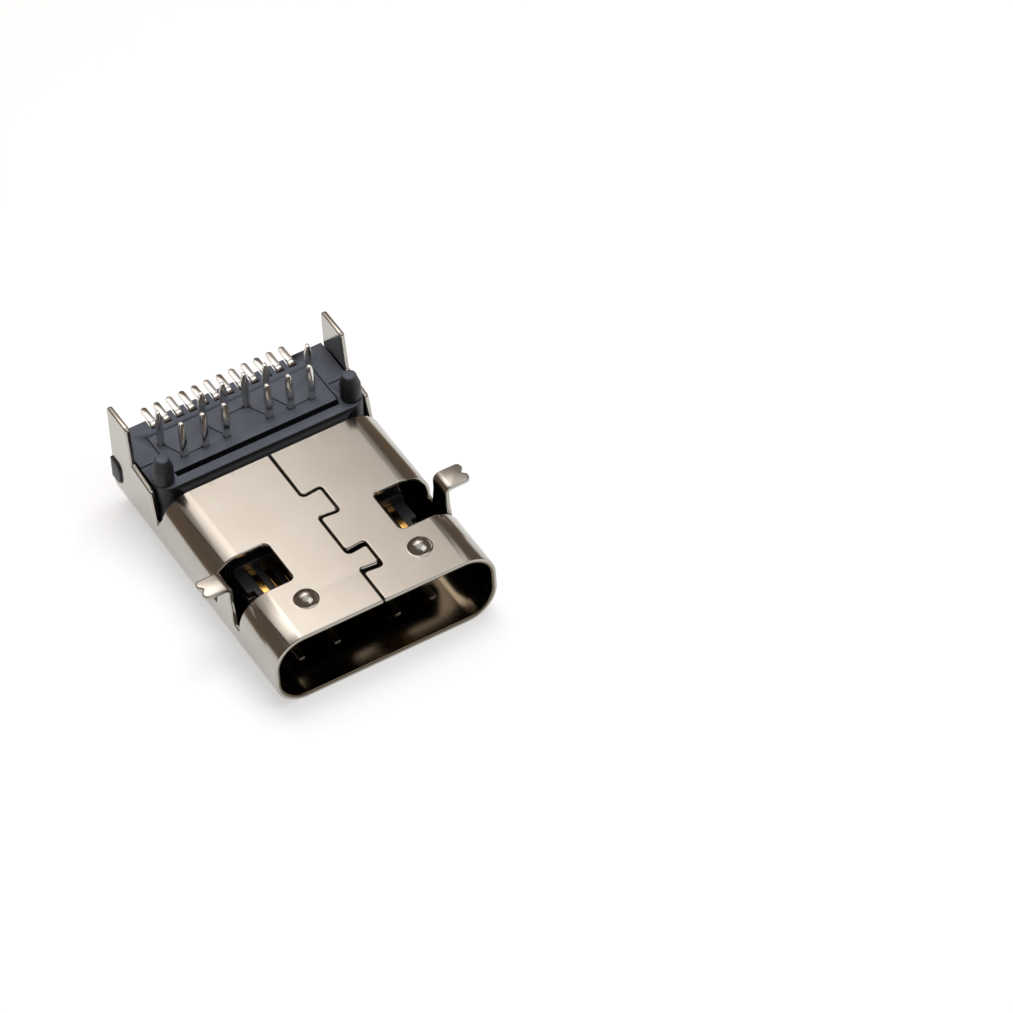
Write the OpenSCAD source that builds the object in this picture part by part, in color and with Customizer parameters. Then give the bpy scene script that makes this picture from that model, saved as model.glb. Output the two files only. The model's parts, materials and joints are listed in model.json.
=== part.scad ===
// Reversible 24-contact receptacle for a circuit board: a folded shell, a moulded housing, 12
// contacts with through-hole pins and 12 with surface tails. Millimetres. The flat back lies on
// z = 0, the mouth looks along -Y, and the pins, posts and legs that enter the board stand up
// along +Z.

/* [Mouth] */
// Width of the opening inside the shell
mouth_w = 8.34; // [8.2:0.02:8.6]
// Height of the opening inside the shell
mouth_h = 2.62; // [2.5:0.02:2.7]
// Corner radius of the opening
mouth_r = 1.0; // [0.8:0.05:1.2]

/* [Shell] */
// Thickness of the folded sheet
sheet = 0.2; // [0.14:0.02:0.24]
// Length of the closed tube, from the mouth to its rear edge
tube_len = 8.12; // [7.9:0.02:8.2]
// Length of the side and back walls, from the mouth
wall_len = 11.64; // [11.5:0.02:11.68]

/* [Seam] */
// Width of the butt seam
seam_gap = 0.05; // [0.03:0.01:0.08]
// How far the seam's tabs reach across
seam_tab = 0.77; // [0.5:0.01:0.9]
// Corner radius of the seam's tabs
seam_r = 0.14; // [0.08:0.01:0.2]
// How far each edge of a tab leans, so that the tabs lock
seam_lean = 0.04; // [0:0.01:0.08]
// Front and rear edges of the front tab
front_tab = [1.58, 2.66]; // [1.5:0.01:2.8]
// Front and rear edges of the rear tab
rear_tab = [4.52, 5.77]; // [4.4:0.01:5.9]
// Extra gap before and behind the front tab
front_tab_slack = 0.19; // [0:0.01:0.24]
// Extra gap before and behind the rear tab
rear_tab_slack = 0.05; // [0:0.01:0.2]

/* [Windows and front legs] */
// Distance of each window's inner edge from the middle
window_x = 2.1; // [2:0.02:2.4]
// Front edge of the windows
window_y = 2.53; // [2.4:0.01:2.7]
// Length of the windows
window_len = 2.0; // [1.8:0.01:2.1]
// Corner radius of the windows
window_r = 0.22; // [0.1:0.01:0.3]
// Height at which the slots beside each front leg end
leg_root_z = 1.62; // [1.4:0.02:1.76]
// Width of a front leg at its root
leg_root_w = 1.24; // [1.1:0.02:1.3]
// Width of a front leg at its pad
pad_w = 0.89; // [0.7:0.01:0.95]
// Distance of the tip of each pad from the middle
pad_x = 5.24; // [5:0.02:5.5]
// Inner radius of the bend between a front leg and its pad
pad_bend_r = 0.1; // [0.05:0.01:0.15]
// Height over which a front leg narrows to the width of its pad
leg_taper = 1.0; // [0.6:0.05:1.2]
// Radius of the two lobes at a pad's tip
lobe_r = 0.18; // [0.1:0.01:0.2]
// Depth of the fork between the lobes
fork = 0.16; // [0.05:0.01:0.2]

/* [Bumps] */
// Distance of each bump from the middle
bump_x = 2.24; // [2.1:0.02:2.5]
// Distance of each bump from the mouth
bump_y = 1.46; // [1.2:0.01:1.5]
// Radius of a bump where it leaves the sheet
bump_r = 0.47; // [0.4:0.01:0.5]

/* [Rear legs and tabs] */
// Middle of the slot between the tube and the side wall
slot_y = 8.4; // [8.34:0.01:8.44]
// Width of the slot at its rounded floor
slot_w = 0.16; // [0.1:0.02:0.2]
// Height of the slot's rounded floor
slot_z = 1.7; // [1.5:0.02:1.8]
// Front corner of the low shoulder on each side wall
shoulder_y = 8.76; // [8.6:0.02:8.9]
// Height of the shoulder at its front corner
shoulder_z = 3.0; // [2.9:0.02:3.1]
// Front edge of each rear leg where it leaves the shoulder
leg_root_y = 10.08; // [10:0.02:10.2]
// Height of the shoulder at the leg
leg_step_z = 3.18; // [3:0.02:3.24]
// Front edge of each rear leg at its top
leg_y = 10.24; // [10.1:0.02:10.4]
// Top of the rear legs
leg_top = 4.8; // [4.4:0.02:5.2]
// Corner radius of the legs and shoulders
leg_r = 0.14; // [0.05:0.01:0.2]
// Front edge of the notch for the housing's side lug
lug_y = 10.97; // [10.8:0.02:11.1]
// Bottom of the notch for the side lug
lug_z = 1.36; // [1.3:0.02:1.5]
// Height of the notch for the side lug
lug_h = 1.0; // [0.8:0.02:1.2]
// Corner radius of the notch for the side lug
lug_r = 0.3; // [0.1:0.01:0.35]
// How far the side lug stands out of the side wall
lug_proud = 0.07; // [0:0.01:0.1]
// Distance of the middle of each folded tab from the centre
tab_x = 1.88; // [1.7:0.02:2.1]
// Width of a folded tab
tab_w = 1.3; // [1:0.02:1.5]
// Top of the folded tabs
tab_top = 1.7; // [1.3:0.02:2]
// Inner radius of the folded tabs
tab_bend_r = 0.06; // [0.04:0.01:0.1]
// Gap between the folded tabs and the housing
tab_gap = 0.04; // [0.02:0.01:0.06]

/* [Board] */
// Height of the board's surface above the flat back
board_z = 3.32; // [3.3:0.01:3.4]

/* [Housing] */
// Clearance between the housing and the shell
housing_fit = 0.03; // [0.02:0.01:0.06]
// Front face of the housing at the bottom of the mouth
housing_y = 6.2; // [6:0.02:6.4]
// Front face of the deck that stands above the tube
deck_y = 8.36; // [8.3:0.02:8.5]
// Rear face of the housing
housing_rear = 11.72; // [11.7:0.01:11.8]
// Gap between the deck's top and the board
deck_gap = 0.13; // [0.08:0.01:0.2]
// Gap between the deck's sides and the shell
deck_side_gap = 0.04; // [0.03:0.01:0.1]
// Radius of the deck's front corners
deck_corner_r = 0.5; // [0.4:0.01:0.54]
// Front edge of the cross groove
groove_y = 8.75; // [8.7:0.01:8.8]
// Depth of the cross groove
groove_depth = 0.45; // [0.2:0.01:0.6]
// Step between the deck and the pads that carry the posts
pad_step = 0.05; // [0.03:0.01:0.08]
// Rear edge of the pads that carry the posts
pad_end_y = 9.82; // [9.6:0.02:10]
// Strip of full height between the terminal block and each pad
pad_strip = 0.1; // [0.06:0.01:0.16]
// Width and depth of the moulding lines
line_w = 0.03; // [0.02:0.005:0.04]
// Distance of the moulding line on the rear face from the middle
line_x = 3.17; // [3.1:0.01:3.3]

/* [Posts] */
// Ledge between each post and the deck's side
post_ledge = 0.02; // [0.01:0.01:0.04]
// Distance of each post from the mouth
post_y = 8.86; // [8.84:0.01:9]
// Radius of a post where it enters the board
post_r = 0.38; // [0.3:0.01:0.4]
// Top of a post
post_top = 4.29; // [4.2:0.01:4.6]
// Radius of a post's flat top
post_tip_r = 0.24; // [0.15:0.01:0.28]
// Length of the straight part of a post above the board's surface
post_straight = 0.5; // [0.4:0.01:0.6]

/* [Terminal block] */
// Width of the terminal block
block_w = 6.5; // [6.44:0.02:6.6]
// Front edge of the terminal block
block_y = 9.0; // [8.9:0.01:9.1]
// Length of the terminal block
block_len = 1.95; // [1.9:0.01:2]
// Height of the terminal block
block_h = 0.99; // [0.8:0.01:1.1]
// Clearance between the terminal block and its pocket
block_fit = 0.03; // [0.02:0.01:0.05]

/* [Tongue] */
// Width of the tongue
tongue_w = 6.69; // [6.6:0.01:6.8]
// Thickness of the tongue
tongue_t = 0.7; // [0.66:0.01:0.74]
// Distance of the tongue's tip from the mouth
tongue_y = 1.8; // [1.6:0.01:1.9]
// Front face of the thick root of the tongue
root_y = 4.66; // [4.5:0.01:4.8]
// Width of the root
root_w = 6.75; // [6.7:0.01:6.85]
// Thickness of the root
root_t = 1.44; // [1.3:0.01:1.5]
// Corner radius of the root
root_r = 0.3; // [0.2:0.01:0.4]
// Length of the tongue's base behind the housing's front face
base_len = 1.4; // [1.2:0.02:1.6]
// Step all round from the root to the base
base_step = 0.1; // [0.06:0.01:0.14]
// How far each front corner of the tongue is cut off across it and along it
nose_cut = [0.42, 0.65]; // [0.3:0.01:0.7]
// How far the tongue's front edge is bevelled along it and through it
nose_bevel = [0.3, 0.16]; // [0.1:0.01:0.4]
// Front edge of the latch recesses
latch_y = 2.95; // [2.8:0.01:3.1]
// Length of the latch recesses
latch_len = 0.8; // [0.6:0.01:1]
// Depth of the latch recesses
latch_depth = 0.25; // [0.15:0.01:0.3]
// Thickness of the middle plate
plate_t = 0.1; // [0.08:0.01:0.14]
// How far the plate's edges lie inside the tongue
plate_inset = 0.15; // [0.1:0.01:0.2]
// Length of the bare ears of the plate before and behind each latch recess
ear_len = 0.35; // [0.25:0.01:0.45]
// Distance of the plate's rear edge from the end of the tongue's base
plate_end = 0.3; // [0.2:0.01:0.4]

/* [Ground parts] */
// Thickness of the ground collar round the root
collar_t = 0.1; // [0.06:0.01:0.12]
// Length of the ground collar
collar_len = 1.1; // [0.8:0.01:1.3]
// Thickness of the ground spring on the floor of the mouth
spring_t = 0.06; // [0.04:0.01:0.08]
// Width of a finger of the ground spring
finger_w = 0.28; // [0.2:0.01:0.34]
// Distance of the finger tips from the mouth
finger_y = 1.45; // [1.3:0.01:1.7]
// Corner radius of the finger tips
finger_r = 0.06; // [0.03:0.01:0.1]
// Places of the fingers on each side, in steps of the contact pitch
finger_steps = [2.4, 5.2]; // [2:0.1:5.4]
// Width of the spring's base
spring_w = 6; // [5.6:0.1:6.4]
// Front edge of the spring's base
spring_y = 5; // [4.6:0.1:5.4]

/* [Contacts] */
// Pitch of the contacts on the tongue and of the surface tails
contact_pitch = 0.5; // [0.5:0.005:0.52]
// Width of a contact
contact_w = 0.24; // [0.2:0.01:0.26]
// Thickness of a contact
contact_t = 0.15; // [0.12:0.01:0.16]
// Front end of the long ground and supply contacts
long_y = 2.25; // [2.15:0.01:2.35]
// Front end of the short signal contacts
short_y = 2.7; // [2.5:0.01:2.9]
// Height by which a contact stands proud of the tongue
contact_proud = 0.02; // [0.01:0.01:0.04]
// Clearance round a contact in the mouldings
contact_fit = 0.01; // [0.01:0.005:0.015]
// Inner radius of the contacts' bends
contact_bend_r = 0.12; // [0.1:0.01:0.16]
// Where the upper contacts begin to spread out to their pins
spread_y = 7.7; // [7.65:0.01:7.8]
// Length of the spread
spread_len = 0.86; // [0.8:0.01:0.9]

/* [Through-hole pins] */
// Pitch of the through-hole pins
pin_pitch = 0.85; // [0.83:0.01:0.88]
// Distance of the front row of pins from the mouth
front_row_y = 9.53; // [9.45:0.01:9.6]
// Distance of the rear row of pins from the mouth
rear_row_y = 10.44; // [10.4:0.01:10.5]
// Top of the pins
pin_top = 4.8; // [4.4:0.02:5.2]
// Length of a pin's pointed tip
pin_tip_len = 0.35; // [0.2:0.01:0.5]
// Width of a pin's very end
pin_tip_w = 0.12; // [0.06:0.01:0.2]

/* [Surface tails] */
// Distance of the tips of the surface tails from the mouth
tail_y = 12.22; // [12.1:0.02:12.4]
// Front face of the upright part of a surface contact
riser_y = 11.3; // [11.26:0.01:11.34]
// Depth of the notches that the surface tails leave by
notch_depth = 0.5; // [0.3:0.01:0.6]
// Gap on each side of a tail in its notch
notch_gap = 0.03; // [0.02:0.01:0.05]
// Gap between a tail and the front end of its notch
notch_back = 0.07; // [0.04:0.01:0.1]

/* [Hidden] */
$fn = 48;
// Straight pieces in a round corner of an outline
corner_steps = 4;
shell_w = mouth_w + 2 * sheet;
shell_h = mouth_h + 2 * sheet;
shell_r = mouth_r + sheet;
mid_z = shell_h / 2;
deck_z = board_z - deck_gap;
deck_w = mouth_w - 2 * deck_side_gap;
post_x = deck_w / 2 - post_r - post_ledge;
block_z = deck_z - block_h;
// The bumps reach the board's surface
bump_h = board_z - shell_h;
bump_ball_r = (bump_r * bump_r + bump_h * bump_h) / (2 * bump_h);
tube_end = slot_y - slot_w / 2;
slot_floor = slot_z + slot_w / 2;
tab_y = housing_rear + tab_gap;
upper_z = mid_z + tongue_t / 2 + contact_proud;
lower_z = mid_z - tongue_t / 2 - contact_proud;
contact_count = 12;
// Places of the pins along the rows, in steps of their pitch
pin_steps = [-3.5, -3, -2, -1.5, -1, -0.5, 0.5, 1, 1.5, 2, 3, 3.5];
// Plenty for a cut that has to run right through
through = 20;

function contact_x(i) = (i - (contact_count + 1) / 2) * contact_pitch;
function is_long(i) = i == 1 || i == 4 || i == 9 || i == 12;
function front_y(i) = is_long(i) ? long_y : short_y;
function pin_x(i) = pin_steps[i - 1] * pin_pitch;
// Whole steps stand in the front row and half steps in the rear row
function pin_y(i) = pin_steps[i - 1] == round(pin_steps[i - 1]) ? front_row_y : rear_row_y;

// ---- Frame and profiles ----

// Moves the mouth from y = 0 so that the origin is below the middle of the whole part
module placed() {
    translate([0, -tail_y / 2, 0]) children();
}

// Extrudes a drawing made in X and Z along Y
module along_y(y0, y1) {
    translate([0, y1, 0]) rotate([90, 0, 0]) linear_extrude(y1 - y0) children();
}

// Extrudes a drawing made in Y and Z along X
module along_x(x0, x1) {
    translate([x0, 0, 0]) rotate([90, 0, 90]) linear_extrude(x1 - x0) children();
}

module along_z(z0, z1) {
    translate([0, 0, z0]) linear_extrude(z1 - z0) children();
}

module both_sides() {
    children();
    mirror([1, 0, 0]) children();
}

// Rectangle from (x0, y0) with all four corners round
module round_box(x0, y0, w, h, r) {
    translate([x0 + r, y0]) square([w - 2 * r, h]);
    translate([x0, y0 + r]) square([w, h - 2 * r]);
    for (x = [x0 + r, x0 + w - r], y = [y0 + r, y0 + h - r]) translate([x, y]) circle(r);
}

// Upright section with round bottom corners and straight sides up to top
module trough(w, z0, top, r) {
    translate([-w / 2 + r, z0]) square([w - 2 * r, r]);
    translate([-w / 2, z0 + r]) square([w, top - z0 - r]);
    for (s = [-1, 1]) translate([s * (w / 2 - r), z0 + r]) circle(r);
}

// Quarter of a bent strip, from pointing along the first axis to pointing along the second
module bend(r, t) {
    intersection() {
        difference() {
            circle(r + t);
            circle(r);
        }
        translate([0, -r - t]) square(r + t);
    }
}

function unit(v) = v / norm(v);
function turn(a, b, c) = sign((b - a).x * (c - b).y - (b - a).y * (c - b).x);

// Points of a round corner of radius r at b, on the way from a to c
function corner(a, b, c, r) =
    let (
        u = unit(a - b),
        v = unit(c - b),
        half = acos(u * v) / 2,
        centre = b + unit(u + v) * r / sin(half),
        start = b + u * r / tan(half) - centre,
        sweep = turn(a, b, c) * (180 - 2 * half)
    )
    [for (k = [0 : corner_steps])
        let (t = sweep * k / corner_steps)
        centre + [start.x * cos(t) - start.y * sin(t), start.x * sin(t) + start.y * cos(t)]];

// Closed outline whose corners are given as [x, y, radius], where a radius of 0 is sharp
function rounded(p) =
    let (flat = [for (q = p) [q.x, q.y]], count = len(p))
    [for (i = [0 : count - 1])
        let (before = flat[(i + count - 1) % count], after = flat[(i + 1) % count])
        for (q = p[i].z == 0 ? [flat[i]] : corner(before, flat[i], after, p[i].z)) q];

// ---- Shell ----

module mouth_profile(grow) {
    round_box(
        -mouth_w / 2 - grow, sheet - grow, mouth_w + 2 * grow, mouth_h + 2 * grow, mouth_r + grow
    );
}

module tube() {
    slope = tube_end - tube_len;
    difference() {
        along_y(0, tube_end) difference() {
            mouth_profile(sheet);
            mouth_profile(0);
        }
        along_x(-shell_w, shell_w) polygon([
            [tube_len, shell_h * 2],
            [tube_len, slot_floor + 2 * slope],
            [tube_end, slot_floor],
            [tube_end + sheet, slot_floor],
            [tube_end + sheet, shell_h * 2]
        ]);
        both_sides() window_cut();
        seam();
    }
}

// The window goes round the corner and ends as a slot on each side of the leg
module window_cut() {
    reach = shell_w / 2;
    intersection() {
        along_z(leg_root_z, shell_h + sheet)
            round_box(window_x, window_y, reach, window_len, window_r);
        along_x(window_x - sheet, window_x + reach)
            round_box(window_y, leg_root_z, window_len, reach, window_r / 2);
    }
}

// Leg in the plane of the side wall, bent outwards to a pad with a forked tip
module front_leg() {
    side = shell_w / 2;
    mid_y = window_y + window_len / 2;
    bend_z = board_z - sheet - pad_bend_r;
    root_z = leg_root_z - sheet;
    intersection() {
        union() {
            translate([side + pad_bend_r, 0, bend_z]) along_y(0, through) mirror([1, 0]) mirror([0, 1])
                bend(pad_bend_r, sheet);
            along_y(0, through) {
                translate([side - sheet, root_z]) square([sheet, bend_z - root_z]);
                translate([side + pad_bend_r, board_z - sheet])
                    square([pad_x - side - pad_bend_r, sheet]);
            }
        }
        along_x(0, side + pad_bend_r) polygon([
            [mid_y - leg_root_w / 2, 0],
            [mid_y - leg_root_w / 2, leg_root_z],
            [mid_y - pad_w / 2, leg_root_z + leg_taper],
            [mid_y - pad_w / 2, through],
            [mid_y + pad_w / 2, through],
            [mid_y + pad_w / 2, leg_root_z + leg_taper],
            [mid_y + leg_root_w / 2, leg_root_z],
            [mid_y + leg_root_w / 2, 0]
        ]);
    }
    along_z(board_z - sheet, board_z) pad_outline(side + pad_bend_r, mid_y);
}

// Pad seen from above, with its middle line at mid_y
module pad_outline(x0, mid_y) {
    half = pad_w / 2;
    polygon(rounded([
        [x0, mid_y - half, 0],
        [pad_x, mid_y - half, lobe_r],
        [pad_x, mid_y - fork, lobe_r / 2],
        [pad_x - fork, mid_y, 0],
        [pad_x, mid_y + fork, lobe_r / 2],
        [pad_x, mid_y + half, lobe_r],
        [x0, mid_y + half, 0]
    ]));
}

// Side view of the wall behind the tube: slot, shoulder, leg and the notch for the lug
module rear_wall_outline() {
    difference() {
        polygon(rounded([
            [tube_end, 0, 0],
            [wall_len, 0, 0],
            [wall_len, leg_top, leg_r],
            [leg_y, leg_top, leg_r],
            [leg_root_y, leg_step_z, leg_r / 2],
            [shoulder_y, shoulder_z, leg_r],
            [slot_y + slot_w / 2, slot_floor, 0],
            [tube_end, slot_floor, 0]
        ]));
        translate([slot_y, slot_floor]) circle(slot_w / 2);
        round_box(lug_y, lug_z, wall_len, lug_h, lug_r);
    }
}

module rear_walls() {
    intersection() {
        along_y(tube_end, wall_len) difference() {
            trough(shell_w, 0, leg_top, shell_r);
            trough(mouth_w, sheet, leg_top + sheet, mouth_r);
        }
        along_x(-shell_w, shell_w) rear_wall_outline();
    }
}

module folded_tab() {
    along_x(tab_x - tab_w / 2, tab_x + tab_w / 2) {
        translate([wall_len - sheet, 0]) square([tab_y - tab_bend_r - wall_len + sheet, sheet]);
        translate([tab_y - tab_bend_r, sheet + tab_bend_r]) bend(tab_bend_r, sheet);
        translate([tab_y, sheet + tab_bend_r]) square([sheet, tab_top - sheet - tab_bend_r]);
    }
}

// Part of a ball that stands out of the sheet as a bump, or is hollow below it
module bump_ball(r, z0) {
    intersection() {
        translate([bump_x, bump_y, board_z - bump_ball_r]) sphere(r);
        along_z(z0, through) translate([bump_x, bump_y]) circle(2 * bump_r);
    }
}

// A corner of a path moved sideways by d, so that both legs stay parallel
function shifted(a, b, c, d) =
    let (u = unit(b - a), v = unit(c - b), n = [-u.y, u.x], m = [-v.y, v.x])
    b + d * (n + m) / (1 + n * m);

// A path moved sideways by d, with its corners made round
function moved_path(p, d, r) =
    let (
        last = len(p) - 1,
        q = [for (i = [0 : last])
            i == 0 || i == last ? p[i] + [d, 0] : shifted(p[i - 1], p[i], p[i + 1], d)]
    )
    concat(
        [q[0]],
        [for (i = [1 : last - 1])
            let (r_here = r - d * turn(p[i - 1], p[i], p[i + 1]))
            for (k = corner(q[i - 1], q[i], q[i + 1], r_here)) k],
        [q[last]]
    );
function reversed(v) = [for (i = [len(v) - 1 : -1 : 0]) v[i]];

// Middle line of the seam from the rear to the mouth, with each tab longer by side * its slack
function seam_path(side) = concat(
    [[0, tube_len + sheet]],
    [for (t = [[rear_tab, rear_tab_slack], [front_tab, front_tab_slack]])
        let (rear = t[0][1] + side * t[1] / 2, front = t[0][0] - side * t[1] / 2)
        for (p = [
            [0, rear - seam_lean],
            [seam_tab, rear + seam_lean],
            [seam_tab, front - seam_lean],
            [0, front + seam_lean]
        ]) p],
    [[0, -sheet]]
);

// Dovetailed butt seam: two tabs of the left half sit in the right half
module seam() {
    along_z(mid_z, shell_h + sheet) polygon(concat(
        moved_path(seam_path(1), seam_gap / 2, seam_r),
        reversed(moved_path(seam_path(-1), -seam_gap / 2, seam_r))
    ));
}

module shell() {
    color([0.76, 0.72, 0.66]) placed() difference() {
        union() {
            tube();
            rear_walls();
            both_sides() {
                front_leg();
                folded_tab();
                bump_ball(bump_ball_r, shell_h - sheet / 2);
            }
        }
        both_sides() bump_ball(bump_ball_r - sheet, mid_z);
    }
}

// ---- Housing ----

// Deck seen from above
module deck_outline() {
    side = deck_w / 2;
    polygon(rounded([
        [-side, deck_y, deck_corner_r],
        [side, deck_y, deck_corner_r],
        [side, housing_rear, 0],
        [-side, housing_rear, 0]
    ]));
}

// Lug that fills the notch in the side wall
module side_lug() {
    along_x(deck_w / 2 - sheet, shell_w / 2 + lug_proud) intersection() {
        round_box(
            lug_y + housing_fit,
            lug_z + housing_fit,
            wall_len,
            lug_h - 2 * housing_fit,
            lug_r - housing_fit
        );
        translate([lug_y, 0]) square([wall_len - lug_y, through]);
    }
}

module post() {
    translate([post_x, post_y, 0]) rotate_extrude() polygon([
        [0, block_z],
        [post_r, block_z],
        [post_r, board_z + post_straight],
        [post_tip_r, post_top],
        [0, post_top]
    ]);
}

module tail_notches() {
    notch_w = contact_w + 2 * notch_gap;
    for (i = [1 : contact_count])
        translate([contact_x(i) - notch_w / 2, riser_y - notch_back, deck_z - notch_depth])
            cube([notch_w, housing_rear, through]);
}

// Pads that carry the posts lie a little lower than the deck
module pad_steps() {
    along_z(deck_z - pad_step, through) translate([block_w / 2 + pad_strip, block_y])
        square([through, pad_end_y - block_y]);
}

module housing() {
    color([0.2, 0.21, 0.24]) placed() difference() {
        union() {
            difference() {
                union() {
                    along_y(housing_y, block_y) mouth_profile(-housing_fit);
                    intersection() {
                        along_y(deck_y, housing_rear)
                            trough(deck_w, sheet + housing_fit, deck_z, mouth_r - housing_fit);
                        along_z(0, through) deck_outline();
                    }
                }
                both_sides() pad_steps();
            }
            both_sides() {
                side_lug();
                post();
            }
        }
        // Cross groove behind the front lip
        along_z(deck_z - groove_depth, through)
            translate([-block_w / 2, groove_y]) square([block_w, block_y - groove_y]);
        // Pocket of the terminal block
        along_z(block_z, through) translate([-block_w / 2 - block_fit, block_y])
            square([block_w + 2 * block_fit, block_len + block_fit]);
        tongue_base(contact_fit);
        tail_notches();
        mould_line();
        for (i = [1 : contact_count]) {
            pin_contact(i, contact_fit);
            tail_contact(i, contact_fit);
        }
    }
}

// Line on the rear face where two parts of the mould meet
module mould_line() {
    translate([line_x, housing_rear - line_w, 0]) cube([line_w, sheet, deck_z - notch_depth / 2]);
}

module terminal_block() {
    color([0.2, 0.21, 0.24]) placed() difference() {
        along_z(block_z, deck_z) translate([-block_w / 2, block_y]) square([block_w, block_len]);
        for (i = [1 : contact_count]) pin_contact(i, contact_fit);
        // Moulding line that runs from pin to pin
        for (i = [1 : contact_count - 1]) {
            from = [pin_x(i), pin_y(i)];
            to = [pin_x(i + 1), pin_y(i + 1)];
            reach = to - from;
            translate([from.x, from.y, deck_z - line_w]) rotate(atan2(reach.y, reach.x))
                translate([0, -line_w / 2, 0]) cube([norm(reach), line_w, board_z]);
        }
    }
}

// ---- Tongue and ground parts ----

module root_profile(grow) {
    round_box(
        -root_w / 2 - grow, mid_z - root_t / 2 - grow, root_w + 2 * grow, root_t + 2 * grow, root_r + grow
    );
}

module tongue_base(gap) {
    along_y(housing_y - gap, housing_y + base_len + gap) root_profile(gap - base_step);
}

// Tongue seen from above, with slanted front corners and the latch recesses
module tongue_outline(side, tip_y, end_y, recess) {
    difference() {
        polygon([
            [-side + nose_cut.x, tip_y],
            [side - nose_cut.x, tip_y],
            [side, tip_y + nose_cut.y],
            [side, end_y],
            [-side, end_y],
            [-side, tip_y + nose_cut.y]
        ]);
        for (s = [-1, 1]) translate([s * tongue_w / 2, latch_y + latch_len / 2])
            square([2 * recess, latch_len], center = true);
    }
}

module tongue_section() {
    bottom = mid_z - tongue_t / 2;
    top = mid_z + tongue_t / 2;
    polygon([
        [tongue_y, bottom + nose_bevel.y],
        [tongue_y + nose_bevel.x, bottom],
        [housing_y, bottom],
        [housing_y, top],
        [tongue_y + nose_bevel.x, top],
        [tongue_y, top - nose_bevel.y]
    ]);
}

module tongue() {
    color([0.09, 0.09, 0.1]) placed() difference() {
        union() {
            intersection() {
                along_z(0, shell_h) tongue_outline(tongue_w / 2, tongue_y, housing_y, latch_depth);
                along_x(-tongue_w, tongue_w) tongue_section();
            }
            along_y(root_y, housing_y) root_profile(0);
            tongue_base(0);
        }
        plate(contact_fit);
        for (i = [1 : contact_count]) {
            pin_contact(i, contact_fit);
            tail_contact(i, contact_fit);
        }
    }
}

// Stamped plate in the middle of the tongue, bare only beside the latch recesses
module plate(gap) {
    side = tongue_w / 2 - plate_inset;
    recess_mid = latch_y + latch_len / 2;
    recess = latch_depth - gap;
    end_y = housing_y + base_len - plate_end;
    along_z(mid_z - plate_t / 2 - gap, mid_z + plate_t / 2 + gap) {
        tongue_outline(side + gap, tongue_y + plate_inset - gap, end_y + gap, recess);
        difference() {
            for (s = [-1, 1]) translate([s * side, recess_mid])
                square([2 * plate_inset, latch_len + 2 * ear_len + 2 * gap], center = true);
            for (s = [-1, 1]) translate([s * tongue_w / 2, recess_mid])
                square([2 * recess, latch_len], center = true);
        }
    }
}

module middle_plate() {
    color([0.7, 0.69, 0.67]) placed() plate(0);
}

module ground_collar() {
    color([0.72, 0.7, 0.66]) placed() along_y(housing_y - collar_len, housing_y) difference() {
        root_profile(contact_fit + collar_t);
        root_profile(contact_fit);
    }
}

// Thin spring on the floor of the mouth with four fingers towards the front
module ground_spring() {
    finger_len = spring_y - finger_y + 2 * finger_r;
    color([0.72, 0.7, 0.66]) placed() along_z(sheet, sheet + spring_t) {
        translate([-spring_w / 2, spring_y]) square([spring_w, housing_y - spring_y]);
        for (s = [-1, 1], k = finger_steps) {
            mid_x = s * k * contact_pitch;
            round_box(mid_x - finger_w / 2, finger_y, finger_w, finger_len, finger_r);
        }
    }
}

// ---- Contacts ----

module brass() {
    color([0.8, 0.7, 0.45]) placed() children();
}

// Contact of the upper row: along the tongue, through the housing and up as a pin
module pin_contact(i, gap) {
    w = contact_w + 2 * gap;
    t = contact_t + 2 * gap;
    r = contact_bend_r - gap;
    x = contact_x(i);
    px = pin_x(i);
    bottom = upper_z - contact_t - gap;
    centre = [pin_y(i) - contact_t / 2 - contact_bend_r, upper_z + contact_bend_r];
    spread_end = spread_y + spread_len;
    along_z(bottom, bottom + t) polygon([
        [x - w / 2, front_y(i) - gap],
        [x + w / 2, front_y(i) - gap],
        [x + w / 2, spread_y],
        [px + w / 2, spread_end],
        [px + w / 2, centre[0]],
        [px - w / 2, centre[0]],
        [px - w / 2, spread_end],
        [x - w / 2, spread_y]
    ]);
    along_x(px - w / 2, px + w / 2) translate(centre) bend(r, t);
    along_y(pin_y(i) - t / 2, pin_y(i) + t / 2) polygon([
        [px - w / 2, centre[1]],
        [px + w / 2, centre[1]],
        [px + w / 2, pin_top - pin_tip_len],
        [px + pin_tip_w / 2, pin_top],
        [px - pin_tip_w / 2, pin_top],
        [px - w / 2, pin_top - pin_tip_len]
    ]);
}

// Contact of the lower row: along the tongue, up at the rear and out as a surface tail
module tail_contact(i, gap) {
    w = contact_w + 2 * gap;
    t = contact_t + 2 * gap;
    r = contact_bend_r - gap;
    x = contact_x(i);
    bottom = lower_z - gap;
    low = [riser_y - contact_bend_r, lower_z + contact_t + contact_bend_r];
    high = [riser_y + contact_t + contact_bend_r, board_z - contact_t - contact_bend_r];
    along_z(bottom, bottom + t) translate([x - w / 2, front_y(i) - gap])
        square([w, low[0] - front_y(i) + gap]);
    along_x(x - w / 2, x + w / 2) {
        translate(low) bend(r, t);
        translate([riser_y - gap, low[1]]) square([t, high[1] - low[1]]);
        translate(high) mirror([1, 0]) mirror([0, 1]) bend(r, t);
    }
    along_z(board_z - contact_t - gap, board_z + gap) {
        translate([x - w / 2, high[0]]) square([w, tail_y - w / 2 - high[0]]);
        translate([x, tail_y - w / 2]) circle(w / 2);
    }
}

shell();
housing();
terminal_block();
tongue();
middle_plate();
ground_collar();
ground_spring();
for (i = [1 : contact_count]) {
    brass() pin_contact(i, 0);
    brass() tail_contact(i, 0);
}
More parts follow.
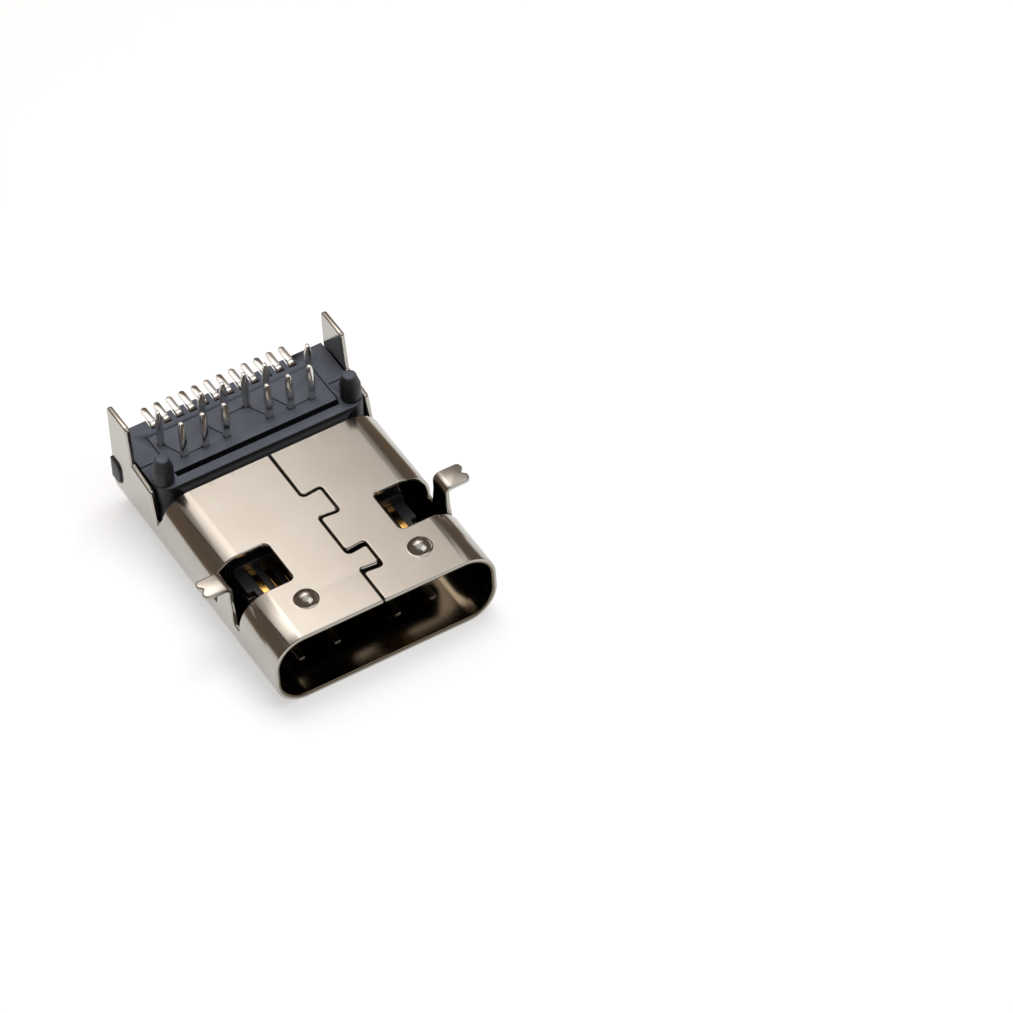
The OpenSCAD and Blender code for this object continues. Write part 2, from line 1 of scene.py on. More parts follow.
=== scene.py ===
"""Looks of a small board-mounted socket.

A satin nickel shell, a moulded housing and plated contacts, and the studio round them.
"""

import json
import logging
import math
from dataclasses import dataclass
from enum import Enum
from typing import Any

import bmesh
import bpy
from mathutils import Euler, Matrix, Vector
from mathutils.bvhtree import BVHTree

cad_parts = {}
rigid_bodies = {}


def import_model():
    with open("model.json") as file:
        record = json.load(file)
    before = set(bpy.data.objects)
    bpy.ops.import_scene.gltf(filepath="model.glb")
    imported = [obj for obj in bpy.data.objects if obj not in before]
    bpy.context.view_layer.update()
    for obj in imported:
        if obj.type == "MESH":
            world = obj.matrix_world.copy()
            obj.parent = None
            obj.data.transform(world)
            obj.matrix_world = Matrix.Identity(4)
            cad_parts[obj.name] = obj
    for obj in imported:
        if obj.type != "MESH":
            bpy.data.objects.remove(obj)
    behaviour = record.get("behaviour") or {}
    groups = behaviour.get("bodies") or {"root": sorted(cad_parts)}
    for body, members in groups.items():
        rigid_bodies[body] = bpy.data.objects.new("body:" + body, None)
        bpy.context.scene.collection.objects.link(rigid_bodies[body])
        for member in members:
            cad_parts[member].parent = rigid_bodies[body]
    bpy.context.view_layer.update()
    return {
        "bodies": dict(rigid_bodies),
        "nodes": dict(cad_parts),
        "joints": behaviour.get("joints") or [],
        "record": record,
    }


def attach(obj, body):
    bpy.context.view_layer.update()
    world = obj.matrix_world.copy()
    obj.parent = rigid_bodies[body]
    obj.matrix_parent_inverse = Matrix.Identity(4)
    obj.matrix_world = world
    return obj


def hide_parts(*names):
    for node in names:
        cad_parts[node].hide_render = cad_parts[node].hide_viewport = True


LOG = logging.getLogger("board_socket")
MM = 0.001
Colour = tuple[float, float, float]
Frame = dict[str, Any]
# Lower and upper end of the span that nearly all of a noise pattern lies in
PATTERN_SPAN = (0.3, 0.7)


class Axis(Enum):
    """The axes a pattern can be read along."""

    X = 0
    Y = 1
    Z = 2


class ShaderSheet:
    """A small writer of node trees, so that each finish reads as a list of layers."""

    def __init__(self, name: str) -> None:
        """Starts a material with an empty node tree.

        Args:
            name: the material's name.
        """
        self.material = bpy.data.materials.new(name)
        self.material.use_nodes = True
        self.tree = self.material.node_tree
        self.tree.nodes.clear()
        self.output = self.add("ShaderNodeOutputMaterial")

    def add(self, kind: str, **settings: Any) -> bpy.types.Node:
        """Adds one node.

        Args:
            kind: the node's class name.
            settings: properties set on the node itself.

        Returns:
            The new node.
        """
        node = self.tree.nodes.new(kind)
        for key, value in settings.items():
            setattr(node, key, value)
        return node

    def join(self, start: bpy.types.NodeSocket, end: bpy.types.NodeSocket) -> None:
        """Joins one socket to another."""
        self.tree.links.new(start, end)

    def place_mm(self, stretch: Colour = (1.0, 1.0, 1.0)) -> bpy.types.NodeSocket:
        """Gives the piece's own coordinates in millimetres.

        Args:
            stretch: factor on each axis, below one where a pattern runs long.

        Returns:
            The vector socket.
        """
        coords = self.add("ShaderNodeTexCoord")
        mapping = self.add("ShaderNodeMapping")
        mapping.inputs["Scale"].default_value = [s / MM for s in stretch]
        self.join(coords.outputs["Object"], mapping.inputs["Vector"])
        return mapping.outputs["Vector"]

    def along(self, axis: Axis) -> bpy.types.NodeSocket:
        """Gives one coordinate in millimetres.

        Args:
            axis: the axis it is read along.

        Returns:
            The value socket.
        """
        split = self.add("ShaderNodeSeparateXYZ")
        self.join(self.place_mm(), split.inputs[0])
        return split.outputs[axis.value]

    def noise(
        self,
        per_mm: float,
        detail: float = 3.0,
        stretch: Colour = (1.0, 1.0, 1.0),
    ) -> bpy.types.NodeSocket:
        """Adds a noise pattern.

        Args:
            per_mm: how many features there are to a millimetre.
            detail: octaves of the noise.
            stretch: factor on each axis.

        Returns:
            The noise's value socket.
        """
        node = self.add("ShaderNodeTexNoise")
        node.inputs["Scale"].default_value = per_mm
        node.inputs["Detail"].default_value = detail
        self.join(self.place_mm(stretch), node.inputs["Vector"])
        return node.outputs["Fac"]

    def ramp(
        self,
        value: bpy.types.NodeSocket,
        start: float,
        end: float,
        low: float = 0.0,
        high: float = 1.0,
    ) -> bpy.types.NodeSocket:
        """Maps a value from one span to another, held at both ends.

        Args:
            value: the socket to map.
            start: input value that gives low.
            end: input value that gives high.
            low: output at start.
            high: output at end.

        Returns:
            The mapped socket.
        """
        node = self.add("ShaderNodeMapRange", clamp=True)
        for socket, number in zip(list(node.inputs)[1:5], (start, end, low, high)):
            socket.default_value = number
        self.join(value, node.inputs["Value"])
        return node.outputs["Result"]

    def blend(
        self, factor: bpy.types.NodeSocket, first: Colour, second: Colour
    ) -> bpy.types.NodeSocket:
        """Mixes two colours by a pattern.

        Args:
            factor: the pattern.
            first: colour where the pattern is zero.
            second: colour where the pattern is one.

        Returns:
            The mixed colour socket.
        """
        node = self.add("ShaderNodeMix", data_type="RGBA")
        node.inputs[6].default_value = (*first, 1.0)
        node.inputs[7].default_value = (*second, 1.0)
        self.join(factor, node.inputs[0])
        return node.outputs[2]

    def relief(
        self,
        height: bpy.types.NodeSocket,
        depth_mm: float,
        strength: float,
        under: bpy.types.NodeSocket | None = None,
    ) -> bpy.types.NodeSocket:
        """Turns a pattern into a bump.

        Args:
            height: the pattern.
            depth_mm: how deep the pattern is, in millimetres.
            strength: how much of it shows.
            under: the normal of a coarser bump that this one lies on.

        Returns:
            The normal socket.
        """
        node = self.add("ShaderNodeBump")
        node.inputs["Distance"].default_value = depth_mm * MM
        node.inputs["Strength"].default_value = strength
        self.join(height, node.inputs["Height"])
        if under is not None:
            self.join(under, node.inputs["Normal"])
        return node.outputs["Normal"]


@dataclass(frozen=True)
class TubeShadeSpan:
    """The hollow of the tube, where painted shade makes the plating darker and warmer than
    outside.

    Args:
        centre: middle of the hollow, in millimetres.
        straight: half of its straight parts across, along and up.
        radius: distance from those parts to the middle of the sheet.
        fade: distance over which the painted shade sets in.
        tone: colour of the painted shade that the plating is multiplied by.
    """

    centre: Colour = (0.0, -4.2, 1.51)
    straight: Colour = (3.17, 5.4, 0.31)
    radius: float = 1.1
    fade: float = 0.02
    tone: Colour = (0.34, 0.29, 0.22)

    def paint_tube_shade(
        self, sheet: ShaderSheet, tone: bpy.types.NodeSocket
    ) -> bpy.types.NodeSocket:
        """Paints shade onto a colour inside the tube.

        Args:
            sheet: the material's writer.
            tone: the plating's colour.

        Returns:
            The colour, with painted shade inside.
        """
        vector = sheet.place_mm()
        for operation, numbers in (
            ("SUBTRACT", self.centre),
            ("ABSOLUTE", None),
            ("SUBTRACT", self.straight),
            ("MAXIMUM", (0.0, 0.0, 0.0)),
        ):
            step = sheet.add("ShaderNodeVectorMath", operation=operation)
            sheet.join(vector, step.inputs[0])
            if numbers is not None:
                step.inputs[1].default_value = numbers
            vector = step.outputs[0]
        reach = sheet.add("ShaderNodeVectorMath", operation="LENGTH")
        sheet.join(vector, reach.inputs[0])
        # mask of the hollow, where shade is painted into the plating
        inside = sheet.ramp(
            reach.outputs["Value"], self.radius, self.radius - self.fade
        )
        dark = sheet.add("ShaderNodeMix", data_type="RGBA", blend_type="MULTIPLY")
        dark.inputs[7].default_value = (*self.tone, 1.0)
        sheet.join(inside, dark.inputs[0])
        sheet.join(tone, dark.inputs[6])
        return dark.outputs[2]


@dataclass(frozen=True)
class PlatedFinish:
    """Nickel plate over rolled sheet: drifting tint, rolling lines and a fine grain."""

    name: str = "satin_nickel"
    tint: Colour = (0.445, 0.43, 0.395)
    shade: Colour = (0.425, 0.408, 0.37)
    roughness: tuple[float, float] = (0.15, 0.18)
    drift_per_mm: float = 0.45
    drift_span: tuple[float, float] = (0.35, 0.65)
    line_per_mm: float = 16.0
    line_stretch: Colour = (1.0, 0.04, 1.0)
    grain_per_mm: float = 34.0
    grain_depth: float = 0.0006
    grain_strength: float = 0.3
    line_depth: float = 0.0003
    line_strength: float = 0.35
    # painted shade inside the tube's hollow, if any
    tube: TubeShadeSpan | None = None

    def material(self) -> bpy.types.Material:
        """Builds the plated metal.

        Returns:
            The material.
        """
        sheet = ShaderSheet(self.name)
        metal = sheet.add("ShaderNodeBsdfPrincipled")
        metal.inputs["Metallic"].default_value = 1.0
        drift = sheet.noise(self.drift_per_mm, detail=2.0)
        lines = sheet.noise(self.line_per_mm, stretch=self.line_stretch)
        grain = sheet.noise(self.grain_per_mm, detail=2.0)
        tone = sheet.blend(sheet.ramp(drift, *self.drift_span), self.tint, self.shade)
        rough = sheet.ramp(lines, *PATTERN_SPAN, *self.roughness)
        combed = sheet.relief(lines, self.line_depth, self.line_strength)
        # paint shade into the tube's hollow
        if self.tube is not None:
            tone = self.tube.paint_tube_shade(sheet, tone)
        sheet.join(tone, metal.inputs["Base Color"])
        sheet.join(rough, metal.inputs["Roughness"])
        grained = sheet.relief(grain, self.grain_depth, self.grain_strength, combed)
        sheet.join(grained, metal.inputs["Normal"])
        sheet.join(metal.outputs[0], sheet.output.inputs[0])
        return sheet.material


@dataclass(frozen=True)
class MouldedFinish:
    """Moulded plastic with grain; painted light makes tops pale, painted shade darkens
    walls and recesses.
    """

    name: str = "moulded_slate"
    body: Colour = (0.056, 0.066, 0.088)
    streak: Colour = (0.07, 0.08, 0.104)
    shaded_wall: Colour = (0.01, 0.011, 0.014)
    # colour of the painted shade on walls and in recesses
    recess_shade_z: tuple[float, float] = (2.95, 3.08)
    # heights over which the painted recess shade gives way to the lit top
    lit_facing_span: tuple[float, float] = (0.25, 0.8)
    # upward facing over which the painted wall shade gives way to the lit top
    roughness: tuple[float, float] = (0.36, 0.5)
    streak_per_mm: float = 1.1
    streak_stretch: Colour = (0.5, 1.0, 1.0)
    streak_span: tuple[float, float] = (0.35, 0.7)
    grain_per_mm: float = 22.0
    grain_depth: float = 0.006
    grain_strength: float = 0.35
    specular: float = 0.4

    def material(self) -> bpy.types.Material:
        """Builds the moulded plastic.

        Returns:
            The material.
        """
        sheet = ShaderSheet(self.name)
        body = sheet.add("ShaderNodeBsdfPrincipled")
        body.inputs["Specular IOR Level"].default_value = self.specular
        streak = sheet.noise(self.streak_per_mm, 4.0, self.streak_stretch)
        grain = sheet.noise(self.grain_per_mm)
        tone = sheet.blend(sheet.ramp(streak, *self.streak_span), self.body, self.streak)
        # painted light and shade: faces that look up and lie above the recess get the lit
        # colour, the rest the painted shade
        facing = sheet.add("ShaderNodeSeparateXYZ")
        shape = sheet.add("ShaderNodeNewGeometry")
        sheet.join(shape.outputs["Normal"], facing.inputs[0])
        painted_light_mix = sheet.add("ShaderNodeMix", data_type="RGBA")
        painted_light_mix.inputs[6].default_value = (*self.shaded_wall, 1.0)
        lit_mask = sheet.add("ShaderNodeMath", operation="MULTIPLY")
        sheet.join(sheet.ramp(facing.outputs[2], *self.lit_facing_span), lit_mask.inputs[0])
        sheet.join(sheet.ramp(sheet.along(Axis.Z), *self.recess_shade_z), lit_mask.inputs[1])
        sheet.join(lit_mask.outputs[0], painted_light_mix.inputs[0])
        sheet.join(tone, painted_light_mix.inputs[7])
        sheet.join(painted_light_mix.outputs[2], body.inputs["Base Color"])
        rough = sheet.ramp(grain, *PATTERN_SPAN, *self.roughness)
        sheet.join(rough, body.inputs["Roughness"])
        grained = sheet.relief(grain, self.grain_depth, self.grain_strength)
        sheet.join(grained, body.inputs["Normal"])
        sheet.join(body.outputs[0], sheet.output.inputs[0])
        return sheet.material


@dataclass(frozen=True)
class SelectivePlating:
    """Contact strip: gold where the plug rubs, bright tin on the soldered ends."""

    name: str = "gold_and_tin"
    gold: Colour = (0.83, 0.5, 0.16)
    tin: Colour = (0.74, 0.73, 0.7)
    change_y: float = 1.0
    change_width: float = 0.4
    roughness: tuple[float, float] = (0.12, 0.16)
    scratch_per_mm: float = 20.0
    scratch_stretch: Colour = (1.0, 0.15, 0.3)
    scratch_depth: float = 0.0002
    scratch_strength: float = 0.3

    def material(self) -> bpy.types.Material:
        """Builds the two platings, parted along the strip's length.

        Returns:
            The material.
        """
        sheet = ShaderSheet(self.name)
        metal = sheet.add("ShaderNodeBsdfPrincipled")
        metal.inputs["Metallic"].default_value = 1.0
        half = self.change_width / 2
        side = sheet.ramp(
            sheet.along(Axis.Y), self.change_y - half, self.change_y + half
        )
        scratch = sheet.noise(self.scratch_per_mm, stretch=self.scratch_stretch)
        sheet.join(sheet.blend(side, self.gold, self.tin), metal.inputs["Base Color"])
        rough = sheet.ramp(scratch, *PATTERN_SPAN, *self.roughness)
        sheet.join(rough, metal.inputs["Roughness"])
        scratched = sheet.relief(scratch, self.scratch_depth, self.scratch_strength)
        sheet.join(scratched, metal.inputs["Normal"])
        sheet.join(metal.outputs[0], sheet.output.inputs[0])
        return sheet.material


@dataclass(frozen=True)
class EdgeRound:
    """How a solid's sharp outer edges are eased.

    Args:
        width: width of the eased strip, in millimetres.
        segments: faces across the strip.
        from_angle: edges sharper than this many degrees are eased.
        low: lowest corner of the box that the edges lie in, in millimetres.
        high: highest corner of that box.
        spare_low: lowest corner, right of the middle, of a box whose edges stay sharp
            on both sides because the next form is too near.
        spare_high: highest corner of that box.
    """

    width: float
    segments: int = 3
    from_angle: float = 35.0
    low: Colour = (-20.0, -20.0, -20.0)
    high: Colour = (20.0, 20.0, 20.0)
    spare_low: Colour = (0.0, 0.0, 0.0)
    spare_high: Colour = (0.0, 0.0, 0.0)

    def picks(self, edge: bmesh.types.BMEdge) -> bool:
        """Says whether an edge is sharp, turned outwards and inside the box.

        Args:
            edge: an edge of the solid, in millimetres.

        Returns:
            True where the edge is eased.
        """
        return (
            edge.is_manifold
            and edge.is_convex
            and edge.calc_face_angle(0.0) > math.radians(self.from_angle)
            and all(
                low <= number <= high
                for vert in edge.verts
                for low, number, high in zip(self.low, vert.co, self.high)
            )
            and not any(
                self.spare_low[0] < abs(vert.co.x) < self.spare_high[0]
                and self.spare_low[1] < vert.co.y < self.spare_high[1]
                and self.spare_low[2] < vert.co.z < self.spare_high[2]
                for vert in edge.verts
            )
        )


@dataclass
class DressedNode:
    """A copy of one CAD solid with eased edges and a finish, in the solid's place."""

    node: str
    piece: str
    slot: str
    edges: tuple[EdgeRound, ...]
    merge_flats: bool = True
    weld: float = 0.0004
    flat_angle: float = 0.4
    smooth_angle: float = 42.0
    shading_weight: int = 100

    def build(self, frame: Frame, finish: bpy.types.Material) -> bpy.types.Object:
        """Builds the dressed copy and lets it stand for the node.

        Args:
            frame: the loaded frame.
            finish: the material it gets.

        Returns:
            The finished piece.
        """
        mesh = frame["nodes"][self.node].data.copy()
        mesh.name = self.piece
        solid = bmesh.new()
        solid.from_mesh(mesh)
        bmesh.ops.scale(solid, vec=Vector((1, 1, 1)) / MM, verts=solid.verts)
        bmesh.ops.remove_doubles(solid, verts=solid.verts, dist=self.weld)
        if self.merge_flats:
            bmesh.ops.dissolve_limit(
                solid,
                angle_limit=math.radians(self.flat_angle),
                use_dissolve_boundaries=False,
                verts=solid.verts,
                edges=solid.edges,
                delimit=set(),
            )
        self.ease(solid)
        bmesh.ops.scale(solid, vec=Vector((MM, MM, MM)), verts=solid.verts)
        mesh.clear_geometry()
        solid.to_mesh(mesh)
        solid.free()
        mesh.materials.clear()
        mesh.materials.append(finish)
        mesh.shade_smooth()
        mesh.set_sharp_from_angle(angle=math.radians(self.smooth_angle))
        piece = bpy.data.objects.new(self.piece, mesh)
        bpy.context.scene.collection.objects.link(piece)
        level = piece.modifiers.new("even_shading", "WEIGHTED_NORMAL")
        level.keep_sharp = True
        level.weight = self.shading_weight
        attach(piece, "root")
        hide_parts(self.node)
        faces = len(mesh.polygons)
        LOG.info("%s: %d faces in place of %s", self.piece, faces, self.node)
        return piece

    def ease(self, solid: bmesh.types.BMesh) -> None:
        """Rounds the solid's sharp outer edges and keeps the result on its surface.

        Args:
            solid: the merged solid, in millimetres.
        """
        surface = BVHTree.FromBMesh(solid)
        for edge_round in self.edges:
            sharp = [edge for edge in solid.edges if edge_round.picks(edge)]
            bmesh.ops.bevel(
                solid,
                geom=sharp,
                offset=edge_round.width,
                offset_type="OFFSET",
                segments=edge_round.segments,
                profile=0.5,
                affect="EDGES",
                clamp_overlap=False,
                material=-1,
            )
        reach = max(edge_round.width for edge_round in self.edges)
        strays = 0
        for vert in solid.verts:
            place, _, _, distance = surface.find_nearest(vert.co)
            if distance > reach / 2:
                vert.co = place
                strays += 1
        bmesh.ops.dissolve_degenerate(solid, dist=self.weld / 2, edges=solid.edges)
        if strays:
            LOG.info("%s: %d corners put back on the surface", self.piece, strays)


@dataclass
class ShieldShell:
    """The folded sheet shell with its seam, windows, bumps, blades and rear tabs."""

    edges: tuple[EdgeRound, ...] = (EdgeRound(0.06),)
    # the shell's plating gets painted shade inside the tube
    finish: PlatedFinish = PlatedFinish(tube=TubeShadeSpan())

    def build(self, frame: Frame) -> None:
        """Builds the shell's dressed sheet.

        Args:
            frame: the loaded frame.
        """
        DressedNode("shell", "shell_sheet", "shell", self.edges).build(
            frame, self.finish.material()
        )


@dataclass
class InsulatorBlock:
    """The moulded housing and the terminal block that closes its pin field."""

    front_lip: EdgeRound = EdgeRound(0.05, low=(-4.2, 2.2, 3.1), high=(4.2, 2.3, 3.3))
    post_tops: EdgeRound = EdgeRound(0.06, low=(-4.2, 2.0, 4.2), high=(4.2, 3.4, 4.4))
    other_edges: EdgeRound = EdgeRound(
        0.018, 2, spare_low=(3.1, 2.3, 1.0), spare_high=(4.2, 6.0, 3.3)
    )
    block_edge: EdgeRound = EdgeRound(0.018, 2)
    finish: MouldedFinish = MouldedFinish()

    def build(self, frame: Frame) -> None:
        """Builds both mouldings.

        Args:
            frame: the loaded frame.
        """
        plastic = self.finish.material()
        DressedNode(
            "housing",
            "housing_body",
            "housing",
            (self.front_lip, self.post_tops, self.other_edges),
        ).build(frame, plastic)
        DressedNode(
            "terminal_block", "pin_block", "housing", (self.block_edge,), merge_flats=False
        ).build(frame, plastic)


@dataclass
class MatingTongue:
    """The tongue the plug slides over, its plate, collar and grounding spring."""

    tongue_edge: EdgeRound = EdgeRound(0.02, 2)
    plate_edge: EdgeRound = EdgeRound(0.015, 2)
    plastic: MouldedFinish = MouldedFinish(
        name="tongue_black",
        body=(0.017, 0.017, 0.019),
        streak=(0.024, 0.024, 0.026),
        # a little painted shade on the tongue's walls
        shaded_wall=(0.014, 0.014, 0.016),
        roughness=(0.3, 0.42),
    )
    metal: PlatedFinish = PlatedFinish(
        name="spring_steel",
        tint=(0.6, 0.58, 0.54),
        shade=(0.54, 0.52, 0.48),
        roughness=(0.18, 0.28),
    )

    def build(self, frame: Frame) -> None:
        """Builds the tongue and its metal parts.

        Args:
            frame: the loaded frame.
        """
        DressedNode("tongue", "tongue_moulding", "tongue", (self.tongue_edge,)).build(
            frame, self.plastic.material()
        )
        steel = self.metal.material()
        for node, piece in (
            ("middle_plate", "latch_plate"),
            ("ground_collar", "collar_band"),
            ("ground_spring", "finger_spring"),
        ):
            DressedNode(node, piece, "ground", (self.plate_edge,)).build(frame, steel)


@dataclass
class ContactRows:
    """Both rows of contacts: through pins and surface tails."""

    count: int = 12
    edges: tuple[EdgeRound, ...] = (EdgeRound(0.014, 2),)
    finish: SelectivePlating = SelectivePlating()

    def build(self, frame: Frame) -> None:
        """Builds every contact.

        Args:
            frame: the loaded frame.
        """
        plating = self.finish.material()
        for number in range(1, self.count + 1):
            DressedNode(
                f"pin_contact_{number}", f"through_pin_{number}", "contact", self.edges
            ).build(frame, plating)
            DressedNode(
                f"tail_contact_{number}", f"surface_tail_{number}", "contact", self.edges
            ).build(frame, plating)


@dataclass
class Studio:
    """Floor, light cards, world and camera."""

    eye: Colour = (-71.41976, -150.95111, 179.02979)
    turn: Colour = (43.162812, 2.506155, -30.458971)
    lens: float = 249.3732
    sensor: float = 36.0
    clip: tuple[float, float] = (0.01, 4.0)
    floor_size: float = 1800.0
    floor_drop: float = 0.003
    floor_tone: Colour = (0.5, 0.504, 0.51)
    floor_lift: float = 0.505
    key_centre: Colour = (5.0, 67.0, 86.0)
    key_size: tuple[float, float] = (140.0, 66.0)
    key_tint: Colour = (1.0, 0.91, 0.85)
    key_rise: tuple[float, float, float, float] = (-14.0, 10.0, 0.48, 1.34)
    key_top: float = 3.0
    key_levels: tuple[tuple[float, float], ...] = (
        (-66.0, 0.0),
        (-60.0, 1.0),
        (-36.0, 1.3),
        (-8.0, 2.1),
        (6.0, 2.4),
        (24.0, 2.45),
        (33.0, 0.8),
        (64.0, 0.7),
        (70.0, 0.2),
    )
    front_centre: Colour = (32.0, -53.0, 91.0)
    front_size: tuple[float, float] = (74.0, 60.0)
    front_level: float = 1.7
    fill_power: float = 0.27
    fill_size: float = 130.0
    fill_place: Colour = (40.0, 40.0, 170.0)
    rim_radius: float = 24.0
    rim_height: float = 5.0
    rim_span: tuple[float, float] = (22.0, 162.0)
    rim_steps: int = 24
    rim_tone: Colour = (0.2, 0.14, 0.09)
    room_stops: tuple[tuple[float, Colour], ...] = (
        (0.03, (1.0, 1.0, 1.0)),
        (0.06, (0.19, 0.135, 0.1)),
        (0.6, (0.17, 0.13, 0.105)),
        (0.84, (0.2, 0.18, 0.165)),
        (0.94, (0.8, 0.78, 0.75)),
        (1.0, (0.95, 0.93, 0.9)),
    )

    def build(self) -> None:
        """Builds the studio round the object."""
        self.camera()
        self.floor()
        self.key_card()
        self.front_card()
        self.fill_lamp()
        self.dark_rim()
        self.world()

    def camera(self) -> None:
        """Sets the camera."""
        data = bpy.data.cameras.new("camera")
        data.lens = self.lens
        data.sensor_width = self.sensor
        data.clip_start, data.clip_end = self.clip
        eye = bpy.data.objects.new("camera", data)
        eye.location = Vector(self.eye) * MM
        eye.rotation_euler = Euler([math.radians(a) for a in self.turn])
        bpy.context.scene.collection.objects.link(eye)
        bpy.context.scene.camera = eye

    def plane(
        self, name: str, size: tuple[float, float], centre: Colour, facing: Vector
    ) -> bpy.types.Object:
        """Makes a flat stage piece.

        Args:
            name: the piece's name.
            size: its width and depth in millimetres.
            centre: its middle in millimetres.
            facing: the direction its front looks.

        Returns:
            The stage piece.
        """
        mesh = bpy.data.meshes.new(name)
        shape = bmesh.new()
        bmesh.ops.create_grid(shape, x_segments=1, y_segments=1, size=0.5)
        bmesh.ops.scale(shape, vec=(size[0] * MM, size[1] * MM, 1.0), verts=shape.verts)
        shape.to_mesh(mesh)
        shape.free()
        card = bpy.data.objects.new(name, mesh)
        card.location = Vector(centre) * MM
        card.rotation_euler = facing.to_track_quat("Z", "Y").to_euler()
        bpy.context.scene.collection.objects.link(card)
        return card

    def floor(self) -> None:
        """Lays the pale floor, which stays white to the camera and in the metal."""
        floor = self.plane(
            "floor",
            (self.floor_size, self.floor_size),
            (0.0, 0.0, -self.floor_drop),
            Vector((0.0, 0.0, 1.0)),
        )
        sheet = ShaderSheet("pale_floor")
        paper = sheet.add("ShaderNodeBsdfDiffuse")
        paper.inputs["Color"].default_value = (*self.floor_tone, 1.0)
        lift = sheet.add("ShaderNodeEmission")
        path = sheet.add("ShaderNodeLightPath")
        seen = sheet.add("ShaderNodeMath", operation="ADD")
        sheet.join(path.outputs["Is Camera Ray"], seen.inputs[0])
        sheet.join(path.outputs["Is Glossy Ray"], seen.inputs[1])
        both = sheet.add("ShaderNodeMath", operation="ADD", use_clamp=True)
        sheet.join(seen.outputs[0], both.inputs[0])
        sheet.join(path.outputs["Is Transmission Ray"], both.inputs[1])
        level = sheet.add("ShaderNodeMath", operation="MULTIPLY")
        level.inputs[1].default_value = self.floor_lift
        sheet.join(both.outputs[0], level.inputs[0])
        sheet.join(level.outputs[0], lift.inputs["Strength"])
        total = sheet.add("ShaderNodeAddShader")
        sheet.join(paper.outputs[0], total.inputs[0])
        sheet.join(lift.outputs[0], total.inputs[1])
        sheet.join(total.outputs[0], sheet.output.inputs[0])
        floor.data.materials.append(sheet.material)

    def key_card(self) -> None:
        """Hangs the large soft light behind the object, brightest past its middle."""
        centre = Vector(self.key_centre)
        card = self.plane("key_card", self.key_size, self.key_centre, -centre)
        sheet = ShaderSheet("key_card")
        glow = sheet.add("ShaderNodeEmission")
        curve = sheet.add("ShaderNodeFloatCurve")
        span = self.key_size[0]
        along = sheet.ramp(sheet.along(Axis.X), -span / 2, span / 2)
        sheet.join(along, curve.inputs["Value"])
        points = curve.mapping.curves[0].points
        marks = [(0.5 + x / span, level / self.key_top) for x, level in self.key_levels]
        points[0].location = marks[0]
        points[-1].location = marks[-1]
        for mark in marks[1:-1]:
            points.new(*mark)
        for point in points:
            point.handle_type = "VECTOR"
        curve.mapping.update()
        strength = sheet.add("ShaderNodeMath", operation="MULTIPLY")
        strength.inputs[1].default_value = self.key_top
        sheet.join(curve.outputs[0], strength.inputs[0])
        rise = sheet.add("ShaderNodeMath", operation="MULTIPLY")
        sheet.join(strength.outputs[0], rise.inputs[0])
        sheet.join(sheet.ramp(sheet.along(Axis.Y), *self.key_rise), rise.inputs[1])
        glow.inputs["Color"].default_value = (*self.key_tint, 1.0)
        sheet.join(rise.outputs[0], glow.inputs["Strength"])
        sheet.join(glow.outputs[0], sheet.output.inputs[0])
        card.data.materials.append(sheet.material)

    def front_card(self) -> None:
        """Hangs a small soft light before the object, for bumps and rounded rims."""
        card = self.plane(
            "front_card", self.front_size, self.front_centre, -Vector(self.front_centre)
        )
        card.visible_camera = False
        sheet = ShaderSheet("front_card")
        glow = sheet.add("ShaderNodeEmission")
        glow.inputs["Strength"].default_value = self.front_level
        sheet.join(glow.outputs[0], sheet.output.inputs[0])
        card.data.materials.append(sheet.material)

    def fill_lamp(self) -> None:
        """Hangs a broad fill lamp that the metal does not mirror."""
        data = bpy.data.lights.new("fill", "AREA")
        data.shape = "SQUARE"
        data.size = self.fill_size * MM
        data.energy = self.fill_power
        lamp = bpy.data.objects.new("fill", data)
        lamp.location = Vector(self.fill_place) * MM
        lamp.rotation_euler = Vector(self.fill_place).to_track_quat("Z", "Y").to_euler()
        lamp.visible_glossy = False
        lamp.visible_camera = False
        bpy.context.scene.collection.objects.link(lamp)

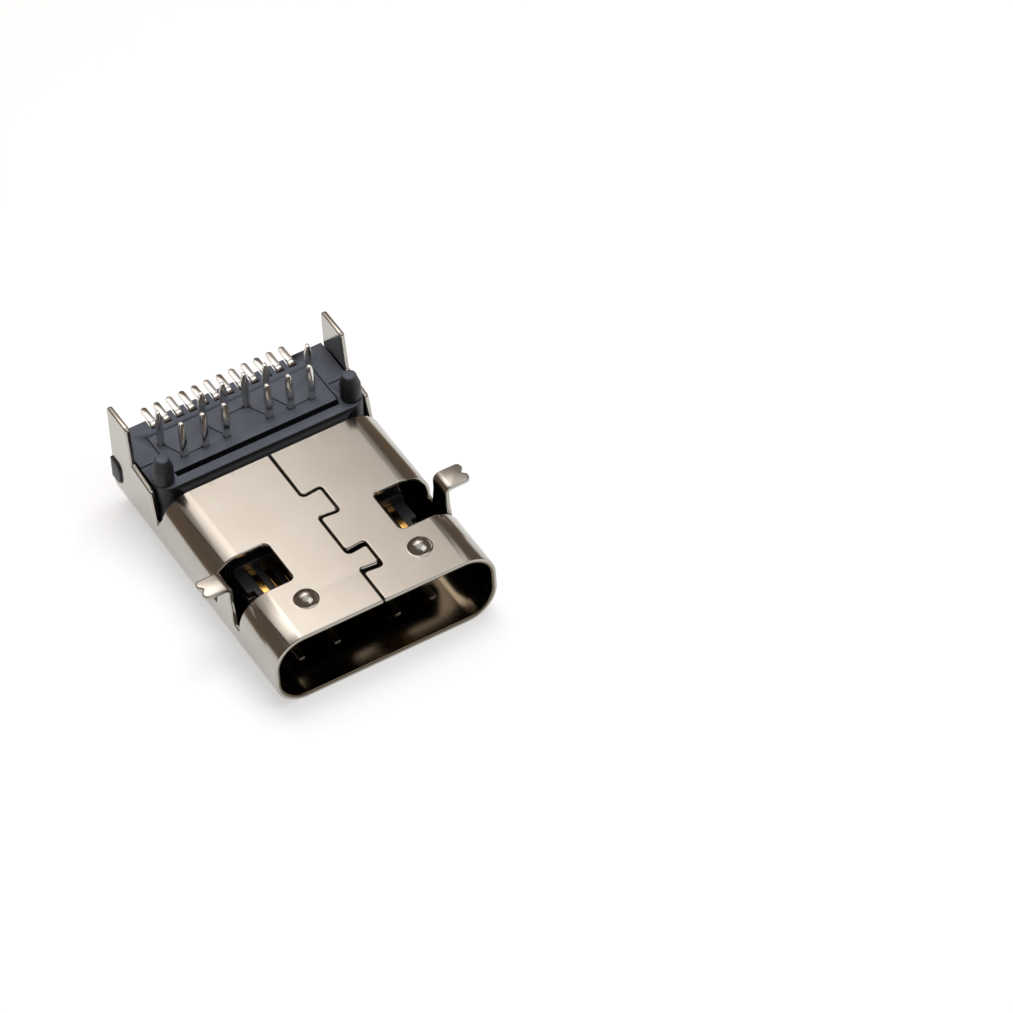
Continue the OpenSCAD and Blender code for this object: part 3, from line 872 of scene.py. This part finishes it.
    def dark_rim(self) -> None:
        """Stands a low dark arc behind the object, which only the metal mirrors."""
        start, end = (math.radians(angle) for angle in self.rim_span)
        foot = Vector((math.cos(start), math.sin(start), 0.0)) * self.rim_radius
        shape = bmesh.new()
        low = shape.verts.new(foot * MM)
        high = shape.verts.new((foot + Vector((0.0, 0.0, self.rim_height))) * MM)
        edge = shape.edges.new((low, high))
        bmesh.ops.spin(
            shape,
            geom=[low, high, edge],
            axis=(0.0, 0.0, 1.0),
            cent=(0.0, 0.0, 0.0),
            angle=end - start,
            steps=self.rim_steps,
        )
        mesh = bpy.data.meshes.new("dark_rim")
        shape.to_mesh(mesh)
        shape.free()
        rim = bpy.data.objects.new("dark_rim", mesh)
        bpy.context.scene.collection.objects.link(rim)
        for ray in ("camera", "diffuse", "transmission", "volume_scatter", "shadow"):
            setattr(rim, f"visible_{ray}", False)
        sheet = ShaderSheet("dark_rim")
        glow = sheet.add("ShaderNodeEmission")
        glow.inputs["Color"].default_value = (*self.rim_tone, 1.0)
        sheet.join(glow.outputs[0], sheet.output.inputs[0])
        mesh.materials.append(sheet.material)

    def world(self) -> None:
        """Sets a dim warm room that is pale below, at the horizon and overhead."""
        world = bpy.data.worlds.new("room")
        bpy.context.scene.world = world
        world.use_nodes = True
        tree = world.node_tree
        tree.nodes.clear()
        coords = tree.nodes.new("ShaderNodeTexCoord")
        split = tree.nodes.new("ShaderNodeSeparateXYZ")
        tree.links.new(coords.outputs["Generated"], split.inputs[0])
        ramp = tree.nodes.new("ShaderNodeValToRGB")
        tree.links.new(split.outputs[2], ramp.inputs[0])
        stops = ramp.color_ramp.elements
        for index in (0, -1):
            place, tone = self.room_stops[index]
            stops[index].position, stops[index].color = place, (*tone, 1.0)
        for place, tone in self.room_stops[1:-1]:
            stops.new(place).color = (*tone, 1.0)
        back = tree.nodes.new("ShaderNodeBackground")
        out = tree.nodes.new("ShaderNodeOutputWorld")
        tree.links.new(ramp.outputs[0], back.inputs[0])
        tree.links.new(back.outputs[0], out.inputs[0])


def main() -> None:
    """Builds every piece of the socket and the studio round it."""
    logging.basicConfig(level=logging.INFO, format="%(name)s: %(message)s")
    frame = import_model()
    Studio().build()
    ShieldShell().build(frame)
    InsulatorBlock().build(frame)
    MatingTongue().build(frame)
    ContactRows().build(frame)
    scene = bpy.context.scene
    scene.view_settings.view_transform = "Standard"


if __name__ == "__main__":
    main()
